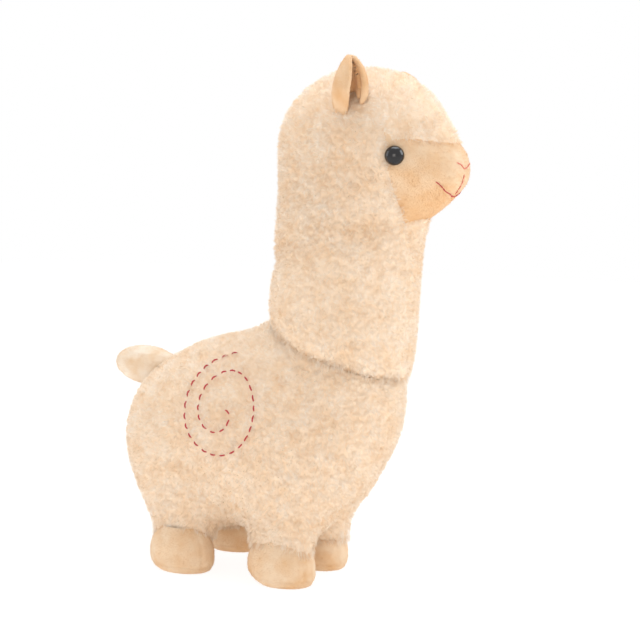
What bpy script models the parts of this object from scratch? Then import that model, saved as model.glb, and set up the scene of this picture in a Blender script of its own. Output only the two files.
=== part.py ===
"""A plush alpaca pillow, sewn from cut panels round a polyester filling.

Metres, +Z up. The animal faces -Y, its right side is -X, and the origin is on the floor
under the middle of the whole toy. A place is written as (side, ahead, up): side is positive
to the animal's left, and ahead is measured forward from the middle of the torso. A fabric is
as thick as its backing and its pressed pile together.
"""
import math

import bmesh
import bpy
from mathutils import Matrix, Vector
from mathutils.bvhtree import BVHTree

# Fabrics and sewing
CLEARANCE = 0.0003
FILL_GAP = 0.0010
SEAM_GAP = 0.0008
FLEECE = 0.004
VELBOA = 0.0022
SEAM_DEPTH = 0.0028
CENTRE_SEAM_DEPTH = 0.0009
CELL = 0.012
RELAX_PASSES = 1
SEWN_PASSES = 4
SHORTEST = 0.42
STEEPEST = 1.6

# Torso: three overlapping ellipsoids
TORSO_WIDTH = 0.126
RUMP_AHEAD = -0.050
RUMP_UP = 0.089
RUMP_LENGTH = 0.124
RUMP_HEIGHT = 0.126
BARREL_AHEAD = -0.004
BARREL_UP = 0.100
BARREL_LENGTH = 0.194
BARREL_HEIGHT = 0.134
CHEST_AHEAD = 0.028
CHEST_UP = 0.103
CHEST_LENGTH = 0.128
CHEST_HEIGHT = 0.138

# Legs and feet
HIND_AHEAD = -0.052
HIND_SPREAD = 0.064
FORE_AHEAD = 0.0265
FORE_SPREAD = 0.048
LEG_WIDTH = 0.032
LEG_LENGTH = 0.048
LEG_TOP = 0.075
LEG_SWELL = 1.05
LEG_SPLAY = 0.020
FOOT_HEIGHT = 0.025
FOOT_BULGE = 0.0008
FOOT_WAIST = 0.010
SOLE_WIDTH = 0.030
FOOT_STEPS = 14

# Belly panel
BELLY_WIDTH = 0.046
BELLY_TOP = 0.050

# Neck
NECK_WIDTH = 0.092
NECK_DEPTH = 0.100
NECK_FLARE = 0.008
NECK_FOOT_AHEAD = 0.051
NECK_FOOT_UP = 0.100
NECK_TOP_AHEAD = 0.0695
NECK_TOP_UP = 0.290
NECK_SEAM_AHEAD = 0.058
NECK_SEAM_UP = 0.156
NECK_SEAM_SLOPE = math.radians(-20)

# Head
HEAD_AHEAD = 0.074
HEAD_UP = 0.2885
HEAD_WIDTH = 0.098
HEAD_LENGTH = 0.125
HEAD_HEIGHT = 0.106
MUZZLE_AHEAD = 0.114
MUZZLE_UP = 0.272
MUZZLE_WIDTH = 0.060
MUZZLE_LENGTH = 0.080
MUZZLE_HEIGHT = 0.052
HOOD_SEAM_AHEAD = 0.066
HOOD_SEAM_UP = 0.227
HOOD_SEAM_SLOPE = math.radians(14)
BROW_UP = 0.2925
BROW_AHEAD = 0.112
BROW_SLOPE = math.radians(-5)
CHEEK_AHEAD = 0.107
CHEEK_SLOPE = math.radians(-7)

# Eyes, measured from straight ahead at the middle of the head
EYE_DIAMETER = 0.012
EYE_DOME = 0.0050
EYE_RIM = 0.0008
EYE_STEPS = 14
EYE_BEARING = math.radians(41)
EYE_UP = 0.2825
SHANK_DIAMETER = 0.004
SHANK_LENGTH = 0.010
WASHER_DIAMETER = 0.014
WASHER_THICKNESS = 0.0012

# Ears
EAR_SIDE = 0.034
EAR_AHEAD = 0.076
EAR_LENGTH = 0.034
EAR_ROOT_UP = 0.311
EAR_RADIUS = 0.0082
EAR_LAYER = 0.0018
EAR_GAP = 0.0010
EAR_SUNK = 0.012
EAR_ROOT_SHARE = 0.22
EAR_SPREAD = math.radians(148)
EAR_LINING = 0.82
EAR_NOD = math.radians(16)
EAR_LEAN = {"right": math.radians(-4), "left": math.radians(30)}
EAR_TURN = math.radians(35)

# Tail
TAIL_AHEAD = -0.103
TAIL_UP = 0.1345
TAIL_LENGTH = 0.056
TAIL_DIAMETER = 0.028
TAIL_DROOP = math.radians(4)

# Threads
THREAD = 0.0012
SPIRAL_AHEAD = 0.001
SPIRAL_UP = 0.119
SPIRAL_WIDTH = 0.064
SPIRAL_HEIGHT = 0.070
SPIRAL_TURNS = 1.75
SPIRAL_END = math.radians(86)
SPIRAL_EASE = 0.55
SPIRAL_EYE = 0.12
SPIRAL_POINTS = 60
NOSE_BEARING = 19
NOSE_UP = 10
NOSE_POINT = 1
MOUTH_BEARING = 45
MOUTH_UP = -13
MOUTH_BEND = 26
MOUTH_BEND_UP = -27
MOUTH_POINT = -36
STITCH_BREAK = 5


def at(side, ahead, up):
    """Turns a place on the animal into model coordinates, before the whole toy is centred."""
    return Vector((side, -ahead, up))


def sloped(ahead, up, slope):
    """Returns a point and an upward normal of a cut plane that rises forward by slope."""
    return at(0.0, ahead, up), Vector((0.0, math.sin(slope), math.cos(slope)))


NECK_SEAM = sloped(NECK_SEAM_AHEAD, NECK_SEAM_UP, NECK_SEAM_SLOPE)
HOOD_SEAM = sloped(HOOD_SEAM_AHEAD, HOOD_SEAM_UP, HOOD_SEAM_SLOPE)
BROW_SEAM = sloped(BROW_AHEAD, BROW_UP, BROW_SLOPE)
CHEEK_SEAM = at(0.0, CHEEK_AHEAD, BROW_UP), Vector((0.0, -math.cos(CHEEK_SLOPE), -math.sin(CHEEK_SLOPE)))
FOOT_SEAM = Vector((0.0, 0.0, FOOT_HEIGHT)), Vector((0.0, 0.0, 1.0))
CENTRE_SEAM = Vector((0.0, 0.0, 0.0)), Vector((1.0, 0.0, 0.0))
LEGS = {
    "hind_right": (-HIND_SPREAD / 2, HIND_AHEAD, -LEG_SPLAY),
    "hind_left": (HIND_SPREAD / 2, HIND_AHEAD, -LEG_SPLAY),
    "fore_right": (-FORE_SPREAD / 2, FORE_AHEAD, LEG_SPLAY),
    "fore_left": (FORE_SPREAD / 2, FORE_AHEAD, LEG_SPLAY),
}


def height(place, plane):
    """Returns how far a place lies on the normal's side of a plane."""
    point, normal = plane
    return (place - point).dot(normal)


def clear_scene():
    """Removes what a new file holds."""
    for item in list(bpy.data.objects):
        bpy.data.objects.remove(item, do_unlink=True)


def new_collection(name):
    """Adds a collection to the scene."""
    made = bpy.data.collections.new(name)
    bpy.context.scene.collection.children.link(made)
    return made


def new_material(name, colour, roughness, sheen=0.0):
    """Makes a plain material."""
    made = bpy.data.materials.new(name)
    made.use_nodes = True
    shader = made.node_tree.nodes["Principled BSDF"]
    shader.inputs["Base Color"].default_value = (*colour, 1.0)
    shader.inputs["Roughness"].default_value = roughness
    shader.inputs["Sheen Weight"].default_value = sheen
    return made


def new_object(name, mesh, material, collection):
    """Puts a mesh in the scene as a named piece."""
    mesh.name = name
    made = bpy.data.objects.new(name, mesh)
    if material is not None:
        mesh.materials.clear()
        mesh.materials.append(material)
    collection.objects.link(made)
    return made


def to_mesh(bm, name="form"):
    """Turns a built mesh into mesh data."""
    bmesh.ops.recalc_face_normals(bm, faces=bm.faces)
    mesh = bpy.data.meshes.new(name)
    bm.to_mesh(mesh)
    bm.free()
    return mesh


def evaluated(item):
    """Returns an object's mesh with its modifiers applied."""
    bpy.context.view_layer.update()
    depsgraph = bpy.context.evaluated_depsgraph_get()
    return bpy.data.meshes.new_from_object(item.evaluated_get(depsgraph))


def add_ball(bm, centre, size, steps=32):
    """Adds an ellipsoid of a width, length and height."""
    matrix = Matrix.Translation(centre) @ Matrix.Diagonal((size[0] / 2, size[1] / 2, size[2] / 2, 1.0))
    bmesh.ops.create_uvsphere(bm, u_segments=steps, v_segments=steps // 2, radius=1.0, matrix=matrix)


def add_post(bm, foot, top, width, depth, swell=1.0):
    """Adds an upright post of oval section, whose top is as many times as wide as its foot as swell says."""
    axis = top - foot
    lean = Vector((0.0, 0.0, 1.0)).rotation_difference(axis).to_matrix().to_4x4()
    scale = Matrix.Diagonal((width / 2, depth / 2, 1.0, 1.0))
    matrix = Matrix.Translation((foot + top) / 2) @ lean @ scale
    bmesh.ops.create_cone(bm, cap_ends=True, segments=32, radius1=1.0, radius2=swell,
                          depth=axis.length, matrix=matrix)


def blended(bm, collection):
    """Returns one smooth mesh of overlapping shapes."""
    draft = new_object("draft", to_mesh(bm), None, collection)
    union = draft.modifiers.new("Union", "REMESH")
    union.mode = "VOXEL"
    union.voxel_size = CELL
    relax = draft.modifiers.new("Relax", "SMOOTH")
    relax.factor = 0.5
    relax.iterations = RELAX_PASSES
    mesh = evaluated(draft)
    bpy.data.objects.remove(draft, do_unlink=True)
    whole = bmesh.new()
    whole.from_mesh(mesh)
    return whole


def cut(bm, plane, where=None):
    """Runs a line of edges along a plane, on the faces that where picks."""
    faces = [face for face in bm.faces if where is None or where(face.calc_center_median())]
    verts = list({vert for face in faces for vert in face.verts})
    edges = list({edge for face in faces for edge in face.edges})
    bmesh.ops.bisect_plane(bm, geom=verts + edges + faces, dist=1e-6, plane_co=plane[0], plane_no=plane[1])


def neighbours(vert):
    """Returns the vertices that edges join to a vertex."""
    return {edge.other_vert(vert) for edge in vert.link_edges}


def merge_short(bm, seams):
    """Closes up short edges without moving any seam off its plane."""
    for _ in range(4):
        on_seams = {vert: {index for index, seam in enumerate(seams) if abs(height(vert.co, seam)) < 2e-6}
                    for vert in bm.verts}
        touched = set()
        targets = {}
        for edge in sorted(bm.edges, key=lambda edge: edge.calc_length()):
            if edge.calc_length() > CELL * SHORTEST:
                break
            goes, stays = edge.verts
            if on_seams[goes] > on_seams[stays]:
                goes, stays = stays, goes
            around = neighbours(goes) | neighbours(stays)
            triangles = [face for face in edge.link_faces if len(face.verts) == 3]
            shared = neighbours(goes) & neighbours(stays)
            if touched & around or not on_seams[goes] <= on_seams[stays] or len(shared) != len(triangles):
                continue
            targets[goes] = stays
            touched |= around
        if not targets:
            break
        bmesh.ops.weld_verts(bm, targetmap=targets)


def mirrored(bm):
    """Makes the two sides of a form alike."""
    bmesh.ops.symmetrize(bm, input=bm.verts[:] + bm.edges[:] + bm.faces[:], direction="X", dist=1e-5)


def relax(bm, seam, is_seam):
    """Evens the mesh out, with seam vertices sliding along their seams and corners held."""
    for _ in range(SEWN_PASSES):
        targets = {}
        for vert in bm.verts:
            edges = vert.link_edges
            if vert in seam:
                edges = [edge for edge in edges if is_seam(edge)]
                if len(edges) != 2:
                    continue
            total = Vector()
            for edge in edges:
                total += edge.other_vert(vert).co
            targets[vert] = total / len(edges)
        for vert, target in targets.items():
            vert.co += (target - vert.co) / 2


def patches(faces):
    """Parts a set of faces into groups that edges join, smallest first."""
    groups = []
    while faces:
        group = set()
        waiting = [faces.pop()]
        while waiting:
            face = waiting.pop()
            group.add(face)
            beside = {other for edge in face.edges for other in edge.link_faces} & faces
            faces -= beside
            waiting += beside
        groups.append(group)
    return sorted(groups, key=len)


def assign(bm, panel_of):
    """Gives each face a panel, with stray patches given to the panel beside them."""
    owner = {face: panel_of(face.calc_center_median()) for face in bm.faces}
    for name in sorted({panel for panel in owner.values() if panel}):
        for group in patches({face for face in bm.faces if owner[face] == name})[:-1]:
            beside = [owner[other] for face in group for edge in face.edges for other in edge.link_faces
                      if owner[other] != name]
            panel = max(sorted(set(beside), key=str), key=beside.count)
            owner.update((face, panel) for face in group)
    return owner


def inward(vert, flat_seams):
    """Returns the way into a form from a vertex, kept level with a flat seam that it lies on."""
    way = -vert.normal
    for plane in flat_seams:
        if abs(height(vert.co, plane)) < 1e-5:
            way -= plane[1] * way.dot(plane[1])
    return way


def sew(bm, panel_of, flat_seams):
    """Pulls the seams between panels inwards and returns the panel that each face belongs to."""
    owner = assign(bm, panel_of)
    seam = {vert for vert in bm.verts if len({owner[face] for face in vert.link_faces}) > 1}
    relax(bm, seam, lambda edge: len({owner[face] for face in edge.link_faces}) > 1)
    bmesh.ops.triangulate(bm, faces=bm.faces[:])
    owner = assign(bm, panel_of)
    bm.normal_update()
    sunk = []
    for vert in seam:
        depth = CENTRE_SEAM_DEPTH if abs(vert.co.x) < 1e-5 else SEAM_DEPTH
        sunk.append((vert, inward(vert, flat_seams) * depth))
    for vert, move in sunk:
        vert.co += move
    bm.normal_update()
    return owner


def border(faces):
    """Returns the edges round a patch of faces, each as its first and second vertex and its face."""
    rim = []
    for face in faces:
        for loop in face.loops:
            if sum(other in faces for other in loop.edge.link_faces) == 1:
                rim.append((loop.vert, loop.link_loop_next.vert, face))
    return rim


def add_panel(bm, owner, name, thickness, flat_seams, material, collection):
    """Adds one panel as thick as its fabric, drawn back from its seams by half the seam gap."""
    faces = {face for face, panel in owner.items() if panel == name}
    rim = border(faces)
    pulls = {}
    for first, second, face in rim:
        inside = face.normal.cross(second.co - first.co).normalized()
        for vert in (first, second):
            pulls[vert] = pulls.get(vert, Vector()) + inside
    made = bmesh.new()
    outer, inner = {}, {}
    for face in faces:
        for vert in face.verts:
            if vert not in outer:
                place = vert.co + pulls.get(vert, Vector()).normalized() * SEAM_GAP / 2
                outer[vert] = made.verts.new(place)
                inner[vert] = made.verts.new(place + inward(vert, flat_seams) * thickness)
        made.faces.new([outer[vert] for vert in face.verts])
        made.faces.new([inner[vert] for vert in reversed(face.verts)])
    for first, second, _ in rim:
        made.faces.new((outer[second], outer[first], inner[first], inner[second]))
    piece = new_object(name, to_mesh(made), material, collection)
    piece.data.shade_smooth()
    return piece


def filling(bm, inset, seam, flat_seams):
    """Returns the stuffing of a form, inside its fabric and ended at a seam."""
    lump = bm.copy()
    lump.normal_update()
    beyond = [face for face in lump.faces if height(face.calc_center_median(), seam) < 0]
    shifts = []
    for vert in lump.verts:
        shift = inward(vert, flat_seams) * inset * min(vert.calc_shell_factor(), STEEPEST)
        if abs(height(vert.co, seam)) < 1e-5:
            shift += seam[1] * CLEARANCE / 2
        shifts.append((vert, shift))
    for vert, shift in shifts:
        vert.co += shift
    bmesh.ops.delete(lump, geom=beyond, context="FACES")
    bmesh.ops.holes_fill(lump, edges=[edge for edge in lump.edges if edge.is_boundary], sides=0)
    return lump


def narrow_feet(lump):
    """Draws the stuffing in below the foot seams so that it fits inside the foot bands."""
    limit = LEG_WIDTH / 2 - SEAM_DEPTH - VELBOA - FILL_GAP
    for vert in lump.verts:
        if vert.co.z > FOOT_HEIGHT + CLEARANCE:
            continue
        middles = [at(side, ahead, vert.co.z) for side, ahead, _ in LEGS.values()]
        middle = min(middles, key=lambda place: (place - vert.co).length)
        off = vert.co - middle
        reach = math.hypot(off.x, off.y * LEG_WIDTH / LEG_LENGTH)
        if reach > limit:
            vert.co = middle + off * limit / reach


def add_cutter(name, mesh, collection):
    """Adds a hidden shape that cuts others."""
    made = new_object(name, mesh, None, collection)
    made.hide_render = True
    made.display_type = "WIRE"
    return made


def cut_away(piece, cutter):
    """Takes a cutter's shape out of a piece."""
    step = piece.modifiers.new("Cut", "BOOLEAN")
    step.operation = "DIFFERENCE"
    step.solver = "EXACT"
    step.object = cutter


def grown(bm, distance):
    """Returns a closed form's mesh, moved outward by a distance."""
    larger = bm.copy()
    larger.normal_update()
    shifts = [(vert, vert.normal * distance) for vert in larger.verts]
    for vert, shift in shifts:
        vert.co += shift
    return to_mesh(larger)


def turned(name, profile, steps, material, collection):
    """Adds a piece turned about Z, from (radius, height) points that run down its outer side.

    A profile that starts on the axis ends on it, and any other one closes on itself.
    """
    mesh = bpy.data.meshes.new(name)
    points = [(radius, 0.0, up) for radius, up in profile]
    edges = [(index, index + 1) for index in range(len(points) - 1)]
    if profile[0][0] > 0.0:
        edges.append((len(points) - 1, 0))
    mesh.from_pydata(points, edges, [])
    piece = new_object(name, mesh, material, collection)
    screw = piece.modifiers.new("Turn", "SCREW")
    screw.axis = "Z"
    screw.steps = steps
    screw.render_steps = steps
    screw.use_merge_vertices = True
    screw.merge_threshold = 0.00001
    return piece


def body_form(collection):
    """Returns the outer form of the torso with its legs and the root of the neck."""
    bm = bmesh.new()
    add_ball(bm, at(0.0, RUMP_AHEAD, RUMP_UP), (TORSO_WIDTH * 0.93, RUMP_LENGTH, RUMP_HEIGHT))
    add_ball(bm, at(0.0, BARREL_AHEAD, BARREL_UP), (TORSO_WIDTH, BARREL_LENGTH, BARREL_HEIGHT))
    add_ball(bm, at(0.0, CHEST_AHEAD, CHEST_UP), (TORSO_WIDTH * 0.95, CHEST_LENGTH, CHEST_HEIGHT))
    add_post(bm, at(0.0, NECK_FOOT_AHEAD, NECK_FOOT_UP), at(0.0, NECK_TOP_AHEAD, NECK_TOP_UP),
             NECK_WIDTH, NECK_DEPTH)
    for side, ahead, splay in LEGS.values():
        foot = at(side, ahead, -CELL)
        knee = at(side, ahead, FOOT_HEIGHT)
        add_post(bm, foot, knee, LEG_WIDTH, LEG_LENGTH)
        add_post(bm, knee, at(side, ahead + splay, LEG_TOP), LEG_WIDTH, LEG_LENGTH, LEG_SWELL)
    return blended(bm, collection)


def neck_form(collection):
    """Returns the outer form of the neck, the head and the muzzle."""
    bm = bmesh.new()
    add_post(bm, at(0.0, NECK_FOOT_AHEAD, NECK_FOOT_UP), at(0.0, NECK_TOP_AHEAD, NECK_TOP_UP),
             NECK_WIDTH + NECK_FLARE, NECK_DEPTH + NECK_FLARE, NECK_WIDTH / (NECK_WIDTH + NECK_FLARE))
    add_ball(bm, at(0.0, HEAD_AHEAD, HEAD_UP), (HEAD_WIDTH, HEAD_LENGTH, HEAD_HEIGHT))
    add_ball(bm, at(0.0, MUZZLE_AHEAD, MUZZLE_UP), (MUZZLE_WIDTH, MUZZLE_LENGTH, MUZZLE_HEIGHT))
    return blended(bm, collection)


def is_face(place):
    """Says whether a place on the head belongs to the smooth face."""
    if height(place, HOOD_SEAM) < 0 or height(place, BROW_SEAM) > 0:
        return False
    return height(place, CHEEK_SEAM) > 0


def is_belly(place):
    """Says whether a place on the body belongs to the belly panel."""
    return abs(place.x) < BELLY_WIDTH / 2 and place.z < BELLY_TOP


def side_name(stem, place):
    """Names a panel of a pair by the side that it lies on."""
    return stem + ("_left" if place.x > 0 else "_right")


def body_panel(place):
    """Names the body panel that a place belongs to."""
    if height(place, NECK_SEAM) > 0 or place.z < FOOT_HEIGHT:
        return None
    return "belly_panel" if is_belly(place) else side_name("body_panel", place)


def neck_panel(place):
    """Names the neck, hood or face panel that a place belongs to."""
    if height(place, NECK_SEAM) < 0:
        return None
    if height(place, HOOD_SEAM) < 0:
        return side_name("neck_panel", place)
    return side_name("face_panel" if is_face(place) else "hood_panel", place)


def build_body(bm, fleece, fill, collection):
    """Sews the body's panels and fills them."""
    seams = [CENTRE_SEAM, NECK_SEAM, FOOT_SEAM]
    for seam in seams:
        cut(bm, seam)
    for side in (-1.0, 1.0):
        edge = Vector((side * BELLY_WIDTH / 2, 0.0, 0.0)), CENTRE_SEAM[1]
        cut(bm, edge, lambda place: place.z < BELLY_TOP + CELL)
        seams.append(edge)
    top = Vector((0.0, 0.0, BELLY_TOP)), FOOT_SEAM[1]
    cut(bm, top, lambda place: abs(place.x) < BELLY_WIDTH / 2 + CELL)
    merge_short(bm, seams + [top])
    mirrored(bm)
    flat_seams = [NECK_SEAM, FOOT_SEAM]
    owner = sew(bm, body_panel, flat_seams)
    for name in ("body_panel_right", "body_panel_left", "belly_panel"):
        add_panel(bm, owner, name, FLEECE, flat_seams, fleece, collection)
    below = NECK_SEAM[0], -NECK_SEAM[1]
    lump = filling(bm, FLEECE + FILL_GAP, below, flat_seams)
    narrow_feet(lump)
    level = Vector((0.0, 0.0, VELBOA + CLEARANCE))
    bmesh.ops.bisect_plane(lump, geom=lump.verts[:] + lump.edges[:] + lump.faces[:], dist=1e-6,
                           plane_co=level, plane_no=FOOT_SEAM[1], clear_inner=True)
    bmesh.ops.holes_fill(lump, edges=[edge for edge in lump.edges if edge.is_boundary], sides=0)
    new_object("body_filling", to_mesh(lump), fill, collection)


def build_neck_and_head(bm, fleece, velboa, fill, collection):
    """Sews the panels of the neck, hood and face and fills them."""
    seams = [CENTRE_SEAM, NECK_SEAM, HOOD_SEAM]
    for seam in seams:
        cut(bm, seam)
    cut(bm, BROW_SEAM, lambda place: height(place, CHEEK_SEAM) > -CELL)
    cut(bm, CHEEK_SEAM, lambda place: height(place, BROW_SEAM) < CELL and height(place, HOOD_SEAM) > -CELL)
    merge_short(bm, seams + [BROW_SEAM, CHEEK_SEAM])
    mirrored(bm)
    flat_seams = [NECK_SEAM]
    owner = sew(bm, neck_panel, flat_seams)
    panels = {}
    for stem, thickness, fabric in (("neck", FLEECE, fleece), ("hood", FLEECE, fleece), ("face", VELBOA, velboa)):
        for side in ("_right", "_left"):
            name = stem + "_panel" + side
            panels[stem + side] = add_panel(bm, owner, name, thickness, flat_seams, fabric, collection)
    lump = filling(bm, FLEECE + FILL_GAP, NECK_SEAM, flat_seams)
    panels["filling"] = new_object("neck_and_head_filling", to_mesh(lump), fill, collection)
    return panels


def bulge(top, waist, foot, steps):
    """Returns points that run from the top out to the waist and in to the foot, on two quarter ellipses."""
    turns = [math.pi / 2 * index / steps for index in range(steps + 1)]
    upper = [(top[0] + (waist[0] - top[0]) * math.sin(turn), waist[1] + (top[1] - waist[1]) * math.cos(turn))
             for turn in turns]
    lower = [(foot[0] + (waist[0] - foot[0]) * math.cos(turn), waist[1] + (foot[1] - waist[1]) * math.sin(turn))
             for turn in turns[1:]]
    return upper + lower


def build_feet(velboa, collection):
    """Adds the four feet: a band sewn below each leg's seam and a flat sole."""
    top = FOOT_HEIGHT - SEAM_GAP / 2
    ankle = LEG_WIDTH / 2 - SEAM_DEPTH
    waist = LEG_WIDTH / 2 + FOOT_BULGE
    sole = SOLE_WIDTH / 2
    outer = bulge((ankle, top), (waist, FOOT_WAIST), (sole, 0.0), 3)
    inner = bulge((ankle - VELBOA, top), (waist - VELBOA, FOOT_WAIST), (sole, VELBOA + CLEARANCE), 3)
    edge = sole - CLEARANCE
    disc = [(0.0, VELBOA), (edge, VELBOA), (edge, 0.0), (0.0, 0.0)]
    for name, (side, ahead, _) in LEGS.items():
        band = turned("foot_band_" + name, outer + inner[::-1], FOOT_STEPS, velboa, collection)
        base = turned("sole_" + name, disc, FOOT_STEPS, velboa, collection)
        for piece in (band, base):
            piece.location = at(side, ahead, 0.0)
            piece.scale.y = LEG_LENGTH / LEG_WIDTH
        band.data.shade_smooth()


def seat(surface, start, direction, radius):
    """Returns a place on a surface, its outward direction, and how far the surface near it rises and falls."""
    place = surface.ray_cast(start, direction)[0]
    tilt = direction.to_track_quat("Z", "Y")
    probes = []
    for index in range(12):
        turn = math.tau * index / 12
        offset = tilt @ Vector((math.cos(turn), math.sin(turn), 0.0)) * radius
        probes.append(surface.ray_cast(start + offset, direction)[0])
    outward = Vector()
    for index, probe in enumerate(probes):
        outward += (probe - place).cross(probes[(index + 1) % 12] - place)
    outward.normalize()
    levels = [(probe - place).dot(outward) for probe in probes + [place]]
    return place, outward, max(levels), min(levels)


def build_eye(side, surface, panels, filling_piece, plastic, parts, cutters):
    """Adds an eye with its shank through the face, its locking washer and the pocket that they sit in."""
    name = "right" if side < 0 else "left"
    start = at(0.0, HEAD_AHEAD, EYE_UP)
    look = Vector((side * math.sin(EYE_BEARING), -math.cos(EYE_BEARING), 0.0))
    place, outward, rise, fall = seat(surface, start, look, WASHER_DIAMETER / 2)
    facing = outward.to_track_quat("Z", "Y")
    radius, shank, disc = EYE_DIAMETER / 2, SHANK_DIAMETER / 2, WASHER_DIAMETER / 2
    dome = bulge((0.0, EYE_DOME), (radius, EYE_RIM), (radius - EYE_RIM, 0.0), 4)
    back = rise + CLEARANCE * 2
    eye = turned("eye_" + name, dome + [(shank, 0.0), (shank, -SHANK_LENGTH), (0.0, -SHANK_LENGTH)],
                 EYE_STEPS, plastic, parts)
    eye.data.shade_smooth()
    eye.location = place + outward * back
    behind = fall - VELBOA - CLEARANCE * 2
    bore = shank + CLEARANCE
    ring = [(disc, 0.0), (disc, -WASHER_THICKNESS), (bore, -WASHER_THICKNESS), (bore, 0.0)]
    washer = turned("eye_washer_" + name, ring, EYE_STEPS, plastic, parts)
    washer.location = place + outward * behind
    room = disc + CLEARANCE
    floor = back - SHANK_LENGTH - CLEARANCE
    hollow = [(0.0, back), (bore, back), (bore, behind + CLEARANCE), (room, behind + CLEARANCE),
              (room, floor), (0.0, floor)]
    pocket = turned("eye_pocket_" + name, hollow, EYE_STEPS, None, cutters)
    well = turned("eye_well_" + name, [(0.0, back), (room, back), (room, floor), (0.0, floor)],
                  EYE_STEPS, None, cutters)
    for cutter in (pocket, well):
        cutter.hide_render = True
        cutter.display_type = "WIRE"
        cutter.location = place
    for piece in (eye, washer, pocket, well):
        piece.rotation_mode = "QUATERNION"
        piece.rotation_quaternion = facing
    for panel in panels:
        cut_away(panel, pocket)
    cut_away(filling_piece, well)


def ear_sheet(offset, spread, stop):
    """Returns a cupped leaf up to a share of the ear's length, offset outward, with its root at the origin."""
    rows, columns = 9, 10
    bm = bmesh.new()
    grid = []
    for row in range(rows + 1):
        up = -EAR_SUNK + (EAR_LENGTH * stop + EAR_SUNK) * row / rows
        share = max(up, 0.0) / EAR_LENGTH
        fullness = math.sin(math.pi * (EAR_ROOT_SHARE + (1.0 - EAR_ROOT_SHARE) * share))
        radius = EAR_RADIUS * max(fullness, 0.0) ** 0.7
        line = []
        for column in range(columns + 1):
            turn = spread * (2.0 * column / columns - 1.0)
            reach = radius + offset
            line.append(bm.verts.new((reach * math.sin(turn), reach * math.cos(turn) - radius, up)))
        grid.append(line)
    for low, high in zip(grid, grid[1:]):
        for column in range(columns):
            bm.faces.new((low[column], high[column], high[column + 1], low[column + 1]))
    bmesh.ops.remove_doubles(bm, verts=bm.verts, dist=0.0002)
    mesh = bpy.data.meshes.new("ear")
    bm.to_mesh(mesh)
    bm.free()
    return mesh


def build_ear(side, head, velboa, collection):
    """Adds an ear of two layers, folded forward at its root and trimmed to the hood."""
    name = "right" if side < 0 else "left"
    layers = {
        "ear_back_": (EAR_GAP / 2 + EAR_LAYER, 1.0),
        "ear_front_": (-EAR_GAP / 2, EAR_LINING),
    }
    for stem, (offset, share) in layers.items():
        mesh = ear_sheet(offset, EAR_SPREAD * share, share)
        piece = new_object(stem + name, mesh, velboa, collection)
        piece.data.shade_smooth()
        layer = piece.modifiers.new("Fabric", "SOLIDIFY")
        layer.thickness = EAR_LAYER
        layer.offset = -1.0
        piece.location = at(side * EAR_SIDE, EAR_AHEAD, EAR_ROOT_UP)
        piece.rotation_euler = (EAR_NOD, side * EAR_LEAN[name], side * EAR_TURN)
        cut_away(piece, head)


def build_tail(body, velboa, fill, collection):
    """Adds the tail stub and its filling, trimmed to the rump."""
    sizes = {"tail": (0.0, velboa), "tail_filling": (VELBOA + FILL_GAP, fill)}
    for name, (inset, material) in sizes.items():
        bm = bmesh.new()
        shrink = Vector((1.0, 1.0, 1.0)) * inset * 2
        add_ball(bm, Vector(), Vector((TAIL_DIAMETER, TAIL_LENGTH, TAIL_DIAMETER)) - shrink, 16)
        piece = new_object(name, to_mesh(bm), material, collection)
        piece.data.shade_smooth()
        if inset == 0.0:
            shell = piece.modifiers.new("Fabric", "SOLIDIFY")
            shell.thickness = VELBOA
            shell.offset = -1.0
        piece.location = at(0.0, TAIL_AHEAD, TAIL_UP)
        piece.rotation_euler = (TAIL_DROOP, 0.0, 0.0)
        cut_away(piece, body)


def add_thread(name, points, material, collection):
    """Adds a thread that lies along points."""
    data = bpy.data.curves.new(name, "CURVE")
    data.dimensions = "3D"
    data.bevel_depth = THREAD / 2
    data.bevel_resolution = 1
    data.use_fill_caps = True
    spline = data.splines.new("POLY")
    spline.points.add(len(points) - 1)
    for item, place in zip(spline.points, points):
        item.co = (*place, 1.0)
    data.materials.append(material)
    piece = bpy.data.objects.new(name, data)
    collection.objects.link(piece)
    return piece


def on_surface(surface, start, direction):
    """Returns the place where a thread's middle lies on the surface that a line from outside meets."""
    place, normal, _, _ = surface.ray_cast(start, direction)
    return place + normal * (THREAD / 2 + CLEARANCE * 2)


def build_spiral(surface, thread, collection):
    """Adds the spiral on the right flank, which opens out from its middle."""
    points = []
    for index in range(SPIRAL_POINTS + 1):
        share = index / SPIRAL_POINTS
        turn = SPIRAL_END + math.tau * SPIRAL_TURNS * (1.0 - share)
        reach = SPIRAL_EYE + (1.0 - SPIRAL_EYE) * share ** SPIRAL_EASE
        ahead = SPIRAL_AHEAD + SPIRAL_WIDTH / 2 * reach * math.cos(turn)
        up = SPIRAL_UP + SPIRAL_HEIGHT / 2 * reach * math.sin(turn)
        points.append(on_surface(surface, at(-TORSO_WIDTH, ahead, up), Vector((1.0, 0.0, 0.0))))
    add_thread("spiral_stitch", points, thread, collection)


def muzzle_line(surface, ends, steps):
    """Returns places on the muzzle along (bearing, elevation) corners seen from its middle, in degrees."""
    middle = at(0.0, MUZZLE_AHEAD, MUZZLE_UP)
    points = []
    for start, end in zip(ends, ends[1:]):
        for index in range(steps):
            share = index / steps
            points.append([first + (last - first) * share for first, last in zip(start, end)])
    points.append(list(ends[-1]))
    places = []
    for bearing, elevation in points:
        around, above = math.radians(bearing), math.radians(elevation)
        look = Vector((math.sin(around) * math.cos(above), -math.cos(around) * math.cos(above), math.sin(above)))
        places.append(on_surface(surface, middle + look * MUZZLE_LENGTH, -look))
    return places


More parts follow.
